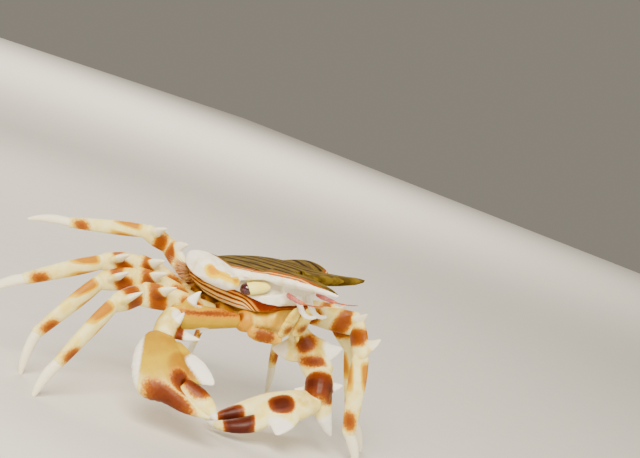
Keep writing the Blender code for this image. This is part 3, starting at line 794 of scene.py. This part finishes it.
def carapace_fields(point, facing):
    """What CARAPACE_FIELDS hold at a point of the carapace."""
    side, forward, up = body_place(point)
    reach = abs(side)
    rim, depth = between(CARAPACE_RINGS, forward, 2), between(CARAPACE_RINGS, forward, 4)
    half = between(CARAPACE_RINGS, forward, 1)
    if forward > HORN_RINGS[0][0]:
        half = max(half, between(HORN_RINGS, forward, 1) + between(HORN_RINGS, forward, 2))
    inset = min(half - reach, forward - CARAPACE_RINGS[0][0])
    if inset < RIM_END:
        beside = between(TOOTH_RINGS, reach, 2) - abs(forward - between(TOOTH_RINGS, reach, 1))
        inset = max(inset, min(TOOTH_RINGS[-1][0] - reach, beside))
    below = rim - up
    top = between(WALL_TOP, forward, 1)
    wall = (below - top) / max(0.3, rim + depth - top)
    if forward > CARAPACE_RINGS[-1][0]:
        wall = -1.0
    # the rim and what lies under it are white from the lateral tooth forward
    upright = max(smooth_step(*FACING_OUT, facing.dot(BODY_UP)), smooth_step(0.4, 0.6, below))
    if below < 0.4:
        upright *= smooth_step(-0.05, 0.25, facing.dot(BODY_SIDE) * math.copysign(1.0, side))
    pale = upright * smooth_step(0.08, -0.02, wall) * smooth_step(*WHITE_AHEAD, forward)
    # the outer face of the lateral tooth is white, with a streak of painted shade in yolk yellow down its
    # middle
    out = smooth_step(*TOOTH_WHITE, reach) * smooth_step(1.9, 1.4, below) * upright
    if forward > -1.5:
        pale = max(pale, out)
    # and so is part of the top of the tooth that stands up
    stands = TOOTH_RISE[math.copysign(1.0, side)] == 1.0
    if stands and forward < ORBITAL_TOOTH[1].y and below < 0.4:
        outside = (Vector((reach, forward, 0.0)) - TOOTH_EDGE).dot(TOOTH_EDGE_OUT)
        pale = max(pale, smooth_step(0.0, 0.15, outside))
        inset = min(inset, max(0.0, -outside))
    # painted shade: yolk yellow, deepening to orange, along the middle of the tooth's outer face
    from_streak = from_line(Vector((reach, forward, up)), *TOOTH_SHADE_LINE)
    warm = smooth_step(*TOOTH_YOLK_SHADE_REACH, reach) * upright * smooth_step(1.0, 0.3, from_streak)
    wall = wall * (1.0 - out) - out
    if wall > 0.0:
        wall *= 1.0 - 0.9 * smooth_step(*WALL_CLOSING, forward)
    lane = reach * (1.0 + STRIPE_SPREAD * max(0.0, forward))
    # the dark stripes narrow on the front teeth
    between_stripes = (math.floor(lane / STRIPE_SPACING) + 0.5) * STRIPE_SPACING
    lane += STRIPE_NARROWING * (between_stripes - lane) * smooth_step(*STRIPE_THINNING, forward)
    return lane, forward, inset, wall, pale, warm


skin("carapace_shell", carapace_parts(), SHELL_GRAIN, carapace_fields,
     "carapace", "carapace_shell", "carapace", names=CARAPACE_FIELDS)


# ======== underside
def underside_parts():
    """The sternum, with the stubs of the limbs and the mouth's outer plates."""
    keel = [(forward, -(roof + deep) / 2.0, half, (deep - roof) / 2.0 + 0.1)
            for forward, half, roof, deep in STERNUM_RINGS]
    parts = [drawn_out(keel, BODY_LINE, sides=32)]
    for sign in SIDES.values():
        for number, (reach, forward, up) in HIPS.items():
            hip = on_body(sign * reach, forward, up)
            inner = on_body(sign * (reach - COXA_START[0]), forward, up - COXA_START[1])
            out = (hip - inner).length
            size = COXA_RADIUS * (CLAW_COXA if number == 1 else 1.0)
            stations = [(out * share + size * past, 0.0, size * swell, size * swell)
                        for share, past, swell in COXA_FORM]
            parts.append(drawn_out(stations, limb_frame(inner, hip - inner, BODY_UP)))
        root, end, width, thick = MOUTH_PLATE
        parts.append(blade(mirrored(sign, root), mirrored(sign, end), width, thick, BODY_UP, bow=0.0,
                           form=MOUTH_PLATE_FORM, sides=20))
    carve_sockets(parts[:1])
    return parts


def underside_fields(point, facing):
    side, forward, up = body_place(point)
    outer = smooth_step(2.4, 3.2, abs(side))
    mark = -1.0
    if outer > 0.0:
        mark = max(HIP_SPOT - math.hypot(forward - ahead, up - level - HIP_SPOT)
                   for _, ahead, level in HIPS.values())
    root, end = MOUTH_PLATE[:2]
    near, far, width = MOUTH_PLATE_STREAK
    from_streak = from_line(Vector((abs(side), forward, up)), root.lerp(end, near), root.lerp(end, far))
    mark = max(mark, width - 0.6 * from_streak)
    return mark, 0.25 + 0.35 * outer, 0.0


def abdomen_parts():
    """The abdomen's segments, each swollen a little before its middle."""
    parts = []
    for near, far in zip(ABDOMEN_RINGS, ABDOMEN_RINGS[1:]):
        for k in range(ABDOMEN_FOLDS):
            a = near[0] + (far[0] - near[0]) * k / ABDOMEN_FOLDS
            b = near[0] + (far[0] - near[0]) * (k + 1) / ABDOMEN_FOLDS
            stations = []
            for forward, share in ((a, 0.90), (a + (b - a) * 0.4, 1.0), (b - 0.02, 0.92)):
                half = between(ABDOMEN_RINGS, forward, 1)
                keel = between(STERNUM_RINGS, forward, 3)
                stations.append((forward, -keel - 0.05, half * share, ABDOMEN_THICKNESS * share))
            parts.append(drawn_out(stations, BODY_LINE, sides=20))
    return parts


skin("sternum_plate", underside_parts(), SHELL_GRAIN, underside_fields,
     "underside", "pale_shell", "underbody")
skin("abdomen_flap", abdomen_parts(), LIMB_GRAIN, lambda point, facing: (-1.0, 0.2, 0.0),
     "underside", "pale_shell", "abdomen", smoothing=3)


# ======== legs
def limb_points(hip, lengths, poses):
    """Joint centres from the hip out."""
    points = [hip]
    for length, (yaw, pitch) in zip(lengths, poses):
        if pitch is None:
            pitch = -math.degrees(math.asin((points[-1].z + FOOT_TRIM) / length))
        points.append(points[-1] + heading(yaw, pitch) * length)
    return points


def started_at(rings, start):
    """A ring table whose first ring is moved out to start."""
    return ((start, *rings[0][1:]), *rings[1:])


def leg_top(along):
    """Which way a leg piece's crest faces."""
    if abs(along.z) > 0.6:
        return Vector((along.x, along.y, 0.0)).normalized() + Vector((0.0, 0.0, 0.3))
    return Vector((0.0, 0.0, 1.0))


def tip_white(point, tips, far, near):
    """How white a point is, from its distance to the spines' tips over their reach."""
    return max((smooth_step(far, near, (point - tip).length / long) for tip, long in tips), default=0.0)


# dark marks of each leg piece, as (share along, level, reach along, reach up)
LEG_MARKS = {
    "merus": ((0.40, 0.0, 0.75, 0.60), (0.82, 0.05, 0.60, 1.05)),
    "carpus": ((0.42, 0.15, 0.66, 1.25),),
    "propodus": ((0.84, -0.05, 0.62, 0.42),),
    "dactyl": (),
}
MARK_SLANT = 0.35
# slope of the pale line between the two orange patches of the propodus
PATCH_LINE = 1.2


def leg_fields(piece, matrix, length, size, tips):
    """A function for what SHELL_FIELDS hold at a point of a leg piece."""
    inverse = matrix.inverted()

    def fields(point, facing):
        local = inverse @ point
        share = local.z / length
        mark = -1.0
        for along, level, reach, rise in LEG_MARKS[piece]:
            ahead = local.z - along * length - MARK_SLANT * local.y
            away = blocky(ahead / (reach * size), (local.y - level) / (rise * size))
            mark = max(mark, (1.0 - away) * min(reach, rise) * size)
        pale = tip_white(point, tips, 0.8, 0.4)
        warm = 0.0
        if piece == "propodus":
            edge = smooth_step(0.10, 0.55, abs(local.y - PATCH_LINE * (share - 0.25)) / size)
            warm = 1.15 * edge * smooth_step(0.55, 0.25, share) * smooth_step(0.0, 0.14, share)
        elif piece == "dactyl":
            pale = 1.0
        else:
            mark -= pale
            warm = 0.25 * smooth_step(0.3, 0.9, local.y / size)
        return mark, warm, pale

    return fields


def walking_leg(number, side):
    reach, forward, up = HIPS[number]
    hip = on_body(SIDES[side] * reach, forward, up)
    size = LEG_SIZE[number]
    points = limb_points(hip, LEG_LENGTHS[number], LEG_POSES[(number, side)])
    for index, piece in enumerate(LEG_PIECES):
        start, end = points[index], points[index + 1]
        along = (end - start).normalized()
        length = (end - start).length
        top = leg_top(along)
        matrix = limb_frame(start, along, top)
        bow = DACTYL_HOOK / 2.0 if piece == "dactyl" else 0.0
        rings = SECTIONS[piece]
        if piece == "merus":
            rings = started_at(rings, LEG_START)
        stations = stations_of(rings, length, size, bow)
        if piece == "dactyl":
            # a toe ends on its last ring
            stations = stations[:-len(ROUNDED_END)]
        parts = [drawn_out(stations, matrix)]
        tips = []
        if piece in SPINE_LENGTH:
            root = start.lerp(end, SPINE_PLACE[piece])
            tip = root + SPINE_LEAN.normalized() * (SPINE_LENGTH[piece] * size)
            parts.append(blade(root, tip, SPINE_WIDTH * size, SPINE_THICKNESS * size, along))
            tips.append((tip, SPINE_LENGTH[piece]))
        name = f"leg{number}_{side}_{piece}"
        skin(name + "_shell", parts, LIMB_GRAIN, leg_fields(piece, matrix, length, size, tips),
             "leg", "banded_shell", name, on_floor=piece == "dactyl")


# ======== chelipeds
# pieces whose spines are broad lobes, hooked towards the fingers
BLUNT = {("right", "palm"), ("left", "palm")}
HOOK = -0.14
# dark marks of each claw piece, as (distance along, level, reach along its
# own slant, reach across, slant in degrees from along towards the crest)
CLAW_MARKS = {
    ("right", "merus"): ((3.2, 0.55, 2.4, 0.19, 0.0),),
    ("right", "carpus"): ((1.25, -0.9, 0.6, 0.5, 0.0),),
    ("right", "palm"): ((3.95, 1.90, 0.95, 0.72, 60.0), (5.32, 1.05, 1.85, 0.64, 66.0)),
    ("right", "finger"): ((0.45, 0.95, 1.30, 0.95, -8.0),),
    ("left", "merus"): ((2.35, 0.30, 0.60, 0.75, 0.0), (3.80, 0.20, 0.38, 1.00, -30.0)),
    ("left", "carpus"): ((1.60, 0.90, 1.05, 1.15, 0.0),),
    ("left", "palm"): ((3.10, 0.45, 1.00, 0.85, 0.0), (6.90, -0.30, 1.00, 0.80, -10.0)),
    ("left", "finger"): ((1.90, 0.40, 1.20, 1.30, 0.0),),
}
# yolk and orange of each claw piece, as (distance along, level, radius, strength)
CLAW_WARMTH = {
    ("right", "merus"): ((2.8, 0.2, 6.0, 0.72),),
    ("right", "carpus"): ((1.4, 0.0, 2.0, 0.35),),
    ("right", "palm"): ((2.2, 0.4, 3.6, 0.58), (0.3, -0.6, 4.2, 0.80), (2.6, 1.9, 2.4, 0.92)),
    ("left", "merus"): ((3.0, 0.3, 2.2, 0.35),),
    ("left", "palm"): ((1.0, 0.4, 1.4, 0.30),),
}
# how far the white edge between the tips of the first two lobes runs in
WHITE_EDGE = {("right", "palm"): 1.25}
# how much deeper in colour than the others the marks of these pieces are: the claw's own marks, deepened
# further as painted shade on the shaded left claw
SHADED_MARK_DEPTH = {("left", "palm"): 2.0, ("left", "finger"): 2.5}
# how far below the middle of its outer face a claw piece is white
WHITE_BELOW = {("right", "palm"): 0.9}
# spines with a dark foot, as (which spine, share of its reach, thickness)
STAINED = {("right", "carpus"): (0, 0.40, 0.70)}


def claw_fields(key, matrix, tips):
    """A function for what SHELL_FIELDS hold at a point of a claw piece."""
    inverse = matrix.inverted()

    def fields(point, facing):
        local = inverse @ point
        mark = -1.0
        for along, level, reach, across, slant in CLAW_MARKS[key]:
            turn = math.radians(slant)
            ahead, above = local.z - along, local.y - level
            away = blocky((ahead * math.cos(turn) + above * math.sin(turn)) / reach,
                          (above * math.cos(turn) - ahead * math.sin(turn)) / across)
            mark = max(mark, (1.0 - away) * min(reach, across))
        warm = 0.0
        for along, level, radius, strength in CLAW_WARMTH.get(key, ()):
            away = math.hypot(local.z - along, local.y - level) / radius
            warm = max(warm, strength * smooth_step(1.0, 0.3, away))
        if key in WHITE_EDGE:
            pale = smooth_step(WHITE_EDGE[key], 0.3, from_line(point, tips[1][0], tips[0][0]))
        else:
            pale = tip_white(point, tips, 0.70, 0.35)
        if key in WHITE_BELOW:
            pale = max(pale, smooth_step(0.0, 0.7, -local.y - WHITE_BELOW[key]))
        if key in STAINED:
            which, share, thick = STAINED[key]
            tip, long = tips[which]
            mark = max(mark, thick - 1.6 * abs((point - tip).length - long * (1.0 - share)))
        # the left claw's marks are deepened here as painted shade
        return mark * SHADED_MARK_DEPTH.get(key, 1.0) - pale, warm, pale

    return fields


def claw_spines(key, path):
    """The spines or lobes of a claw piece, and their (tip, reach)."""
    parts = []
    tips = []
    bow, form = (HOOK, LOBE) if key in BLUNT else (SPINE_BOW, THORN)
    for place, reach, width, thick in CLAW_SPINES.get(key, ()):
        centre, reach = path(place), Vector(reach)
        along = (path(place + 0.05) - path(place - 0.05)).normalized()
        parts.append(blade(centre + reach * 0.1, centre + reach, width, thick, along, bow, form))
        tips.append((centre + reach, reach.length))
    return parts, tips


# how far each length of a curved body runs into the next, and its share there
OVERLAP = 0.12
OVERLAP_SHARE = 0.93


def rings_on_path(path, dorsal, rings, size=1.0, sides=16):
    """A body whose rings follow a curved path, each square to it."""
    parts = []
    for near, far in zip(rings, rings[1:]):
        start, end = path(near[0]), path(far[0])
        along = end - start
        length = along.length
        stations = []
        for ring, place, share in ((near, -OVERLAP, OVERLAP_SHARE), (near, 0.0, 1.0),
                                   (far, length, 1.0), (far, length + OVERLAP, OVERLAP_SHARE)):
            _, thick, up, down = ring
            level, high = (up - down) / 2.0 * size, (up + down) / 2.0 * size
            stations.append((place, level, thick * size * share, high * share))
        parts.append(drawn_out(stations, limb_frame(start, along, dorsal), sides))
    return parts


def claw_piece(side, piece, parts, matrix, tips):
    name = f"cheliped_{side}_{piece}"
    skin(name + "_shell", parts, LIMB_GRAIN, claw_fields((side, piece), matrix, tips),
         "claw", "claw_shell", name)


def cheliped(side):
    pose = CLAW_POSES[side]
    reach, forward, up = HIPS[1]
    points = [on_body(SIDES[side] * reach, forward, up)]
    for piece in ("merus", "carpus", "palm", "fingers"):
        length, yaw, pitch = pose[piece]
        points.append(points[-1] + heading(yaw, pitch) * length)
    hip, elbow, wrist, knuckle, tip = points
    level = Vector((0.0, 0.0, 1.0))
    dorsal = pose["dorsal"].normalized()
    for piece, start, end, rings in (("merus", hip, elbow, CHELIPED_MERUS),
                                     ("carpus", elbow, wrist, CHELIPED_CARPUS)):
        matrix = limb_frame(start, end - start, level)
        length = (end - start).length
        if piece == "merus":
            rings = started_at(rings, ARM_START)
        parts = [drawn_out(stations_of(rings, length, ARM_SIZE[side]), matrix)]
        spines, tips = claw_spines((side, piece), lambda t, a=start, b=end: a.lerp(b, t))
        claw_piece(side, piece, parts + spines, matrix, tips)

    hand_path = bowed(wrist, knuckle, tip)
    spines, tips = claw_spines((side, "palm"), hand_path)
    matrix = limb_frame(wrist, knuckle - wrist, dorsal)
    hand = [(place, thick, up, down * (HAND_HEEL[side] if place < HEEL_END else 1.0))
            for place, thick, up, down in HAND]
    parts = rings_on_path(hand_path, dorsal, eased(hand), sides=20)
    claw_piece(side, "palm", parts + spines, matrix, tips)

    finger_path = bowed(*(hand_path(place) + dorsal * rise for place, rise in FINGER_RISE))
    root, end = finger_path(0.0), finger_path(1.0)
    matrix = limb_frame(root, end - root, dorsal)
    claw_piece(side, "finger", rings_on_path(finger_path, dorsal, eased(FINGER)), matrix, [(end, 1.0)])


for side in SIDES:
    cheliped(side)
    for number in LEG_LENGTHS:
        walking_leg(number, side)


# ======== eyes, feelers, mouth
def eye(side, sign):
    """An eyestalk, and the facetted cornea over its outer end."""
    root, tip = mirrored(sign, EYE_ROOT), mirrored(sign, EYE_TIP)
    length = (tip - root).length
    matrix = limb_frame(root, tip - root, BODY_UP)
    stations = [(share * length, 0.0, radius, radius) for share, radius in STALK]
    skin(f"eyestalk_{side}", [drawn_out(stations, matrix)], FINE_GRAIN,
         lambda point, facing: (-1.0, 0.1, 0.0), "stalk", "eye_surface", f"eye_{side}")
    bpy.ops.object.select_all(action="DESELECT")
    bpy.ops.mesh.primitive_uv_sphere_add(segments=48, ring_count=32, radius=CORNEA_RADIUS)
    ball = bpy.context.active_object
    ball.name = f"cornea_{side}"
    bpy.ops.object.mode_set(mode="EDIT")
    bpy.ops.transform.resize(value=CORNEA_FORM, center_override=(0.0, 0.0, 0.0))
    bpy.ops.mesh.bisect(plane_co=CORNEA_CUT[0], plane_no=CORNEA_CUT[1], use_fill=True, clear_outer=True)
    bpy.ops.object.mode_set(mode="OBJECT")
    ball.matrix_world = matrix @ Matrix.Translation((0.0, 0.0, CORNEA_PLACE * length))
    finished(settled(ball), "cornea", "eye_surface")


def feeler(name, sign, form, lash, pale):
    """A bent feeler; past lash, a share of its length, it is thin and orange."""
    path = bowed(*(mirrored(sign, point) for point in form[1:]))
    rings = []
    for k in range(FEELER_RINGS):
        t = k / (FEELER_RINGS - 1)
        swell = 1.0 if k % 2 else 0.86
        rings.append((t, *(swell * (1.0 - 0.5 * t) * (0.45 if t > lash else 1.0),) * 3))
    bend = path(lash)
    run = (path(1.0) - path(0.0)).normalized()
    skin(name + "_shell", rings_on_path(path, BODY_UP, rings, size=form[0], sides=12), FINE_GRAIN,
         lambda point, facing: (-1.0, smooth_step(-0.3, 0.3, (point - bend).dot(run)), pale),
         "feeler", "feeler_shell", name, smoothing=2)


def mouthpart(name, sign):
    root, end = (mirrored(sign, point) for point in MOUTHPART_ENDS)
    stations = stations_of(MOUTHPART, (end - root).length)
    parts = [drawn_out(stations, limb_frame(root, end - root, BODY_UP))]
    spot = root.lerp(end, MOUTHPART_SPOT)
    skin(name + "_shell", parts, FINE_GRAIN,
         lambda point, facing: (0.34 - 0.8 * (point - spot).length, 0.1, 0.3),
         "underside", "pale_shell", name, smoothing=3)


for side, sign in SIDES.items():
    eye(side, sign)
    feeler(f"antennule_{side}", sign, ANTENNULE, 1.0, 0.9)
    feeler(f"antenna_{side}", sign, ANTENNA, 0.45, 0.34)
    mouthpart(f"maxilliped_{side}", sign)


# ======== setae
SETAE = 64
SETA_RADIUS = 0.035
SETA_STATIONS = (-0.1, 0.35, 0.7, 1.0)
# where the tuft grows on the side wall: (forward, reach) and (degrees below the rim, reach)
SETAE_FORWARD = (-3.6, 2.0)
SETAE_BELOW = (4.0, 44.0)
# steps from hair to hair that scatter them evenly: along, down, and in radians of lean
SETAE_SCATTER = (0.618, 0.755, 2.4)


def tuft(side, sign):
    """The brush of hairs on the hind part of one side wall."""
    hairs = []
    for k in range(SETAE):
        share, drop, wind = (k * step for step in SETAE_SCATTER)
        share %= 1.0
        drop %= 1.0
        turn = math.radians(SETAE_BELOW[0] + SETAE_BELOW[1] * drop)
        root = on_body(*shell_place(sign * math.cos(turn), SETAE_FORWARD[0] + SETAE_FORWARD[1] * share,
                                    -math.sin(turn)))
        # out, a little back, lower for the lower hairs, and fanned about
        lean = on_body(sign * (0.9 + 0.2 * math.sin(wind)), -0.5 + 0.4 * math.cos(wind),
                       0.15 - 0.9 * drop + 0.25 * math.sin(2.0 * wind)) - on_body(0.0, 0.0, 0.0)
        long = 0.9 + 0.5 * math.sin(wind) ** 2
        stations = []
        for t in SETA_STATIONS:
            radius = SETA_RADIUS * (1.0 - 0.8 * t)
            stations.append((t * long, 0.25 * long * t * t, radius, radius))
        hairs.append(drawn_out(stations, limb_frame(root, lean, BODY_UP), sides=6))
    finished(joined(f"setae_{side}", hairs), "setae", "carapace_shell")


for side, sign in SIDES.items():
    tuft(side, sign)


# ======== stage
LAMP_COLOUR = (1.0, 0.90, 0.74)
# as (name, place, size, watts, what it shines on)
LAMPS = (
    ("key_lamp", (-95.0, -60.0, 95.0), 80.0, 0.44, (0.0, 0.0, 8.0)),
    ("fill_lamp", (60.0, -110.0, 60.0), 110.0, 0.07, (0.0, 0.0, 8.0)),
    ("back_lamp", (40.0, 110.0, 90.0), 90.0, 0.12, (0.0, 0.0, 8.0)),
    ("floor_lamp", (260.0, 330.0, 260.0), 300.0, 2.5, (300.0, 360.0, 0.0)),
)
AIR_COLOUR = "#FFF4E0"
AIR_STRENGTH = 0.26
FLOOR_SIZE = 1200.0
# flecks of the floor's paper to the millimetre
PAPER_FLECKS = 0.4


def studio():
    """A pale floor, soft lamps and a little light from all round."""
    bpy.ops.object.select_all(action="DESELECT")
    bpy.ops.mesh.primitive_plane_add(size=FLOOR_SIZE * MM)
    floor = bpy.context.active_object
    floor.name = "studio_floor"
    material, tree, shader, place = new_material("matte_studio_paper")
    fleck = add(tree, "TexNoise", {"Vector": place, "Scale": PAPER_FLECKS}).outputs["Fac"]
    colour = add(tree, "Mix", {"Factor": fleck, 6: linear("#DCDAD6"), 7: linear("#D6D4D0")},
                 data_type="RGBA").outputs[2]
    plug(tree, shader, {"Base Color": colour, "Roughness": 0.9})
    floor.data.materials.append(material)

    for name, place, size, power, aim in LAMPS:
        light = bpy.data.lights.new(name, "AREA")
        light.energy = power
        light.shape = "DISK"
        light.size = size * MM
        light.color = LAMP_COLOUR
        lamp = bpy.data.objects.new(name, light)
        spot = Vector(place) * MM
        lamp.location = spot
        lamp.rotation_euler = (Vector(aim) * MM - spot).to_track_quat("-Z", "Y").to_euler()
        bpy.context.scene.collection.objects.link(lamp)

    world = bpy.data.worlds.new("studio_air")
    bpy.context.scene.world = world
    world.use_nodes = True
    air = world.node_tree.nodes["Background"]
    plug(world.node_tree, air, {"Color": linear(AIR_COLOUR), "Strength": AIR_STRENGTH})


# degrees round from the crab's front, above level, and of turn about the view
CAMERA_AZIMUTH = 50.0
CAMERA_RISE = 5.0
CAMERA_ROLL = 20.0
CAMERA_DISTANCE = 100.0
CAMERA_AIM = Vector((0.95 - CENTRE_X, -4.7 - CENTRE_Y, 17.2))
CAMERA_LENS = 73.1


def photographer():
    turn, rise, roll = (math.radians(v) for v in (CAMERA_AZIMUTH, CAMERA_RISE, CAMERA_ROLL))
    back = Vector((-math.sin(turn) * math.cos(rise), -math.cos(turn) * math.cos(rise), math.sin(rise)))
    right = Vector((math.cos(turn), -math.sin(turn), 0.0))
    up = back.cross(right)
    level = Matrix((right, up, back)).transposed().to_4x4()
    data = bpy.data.cameras.new("camera")
    data.lens = CAMERA_LENS
    data.sensor_width = 36.0
    data.clip_start = 1.0 * MM
    data.clip_end = 5.0
    camera = bpy.data.objects.new("camera", data)
    place = (CAMERA_AIM + back * CAMERA_DISTANCE) * MM
    camera.matrix_world = Matrix.Translation(place) @ level @ Matrix.Rotation(roll, 4, "Z")
    bpy.context.scene.collection.objects.link(camera)
    bpy.context.scene.camera = camera


studio()
photographer()
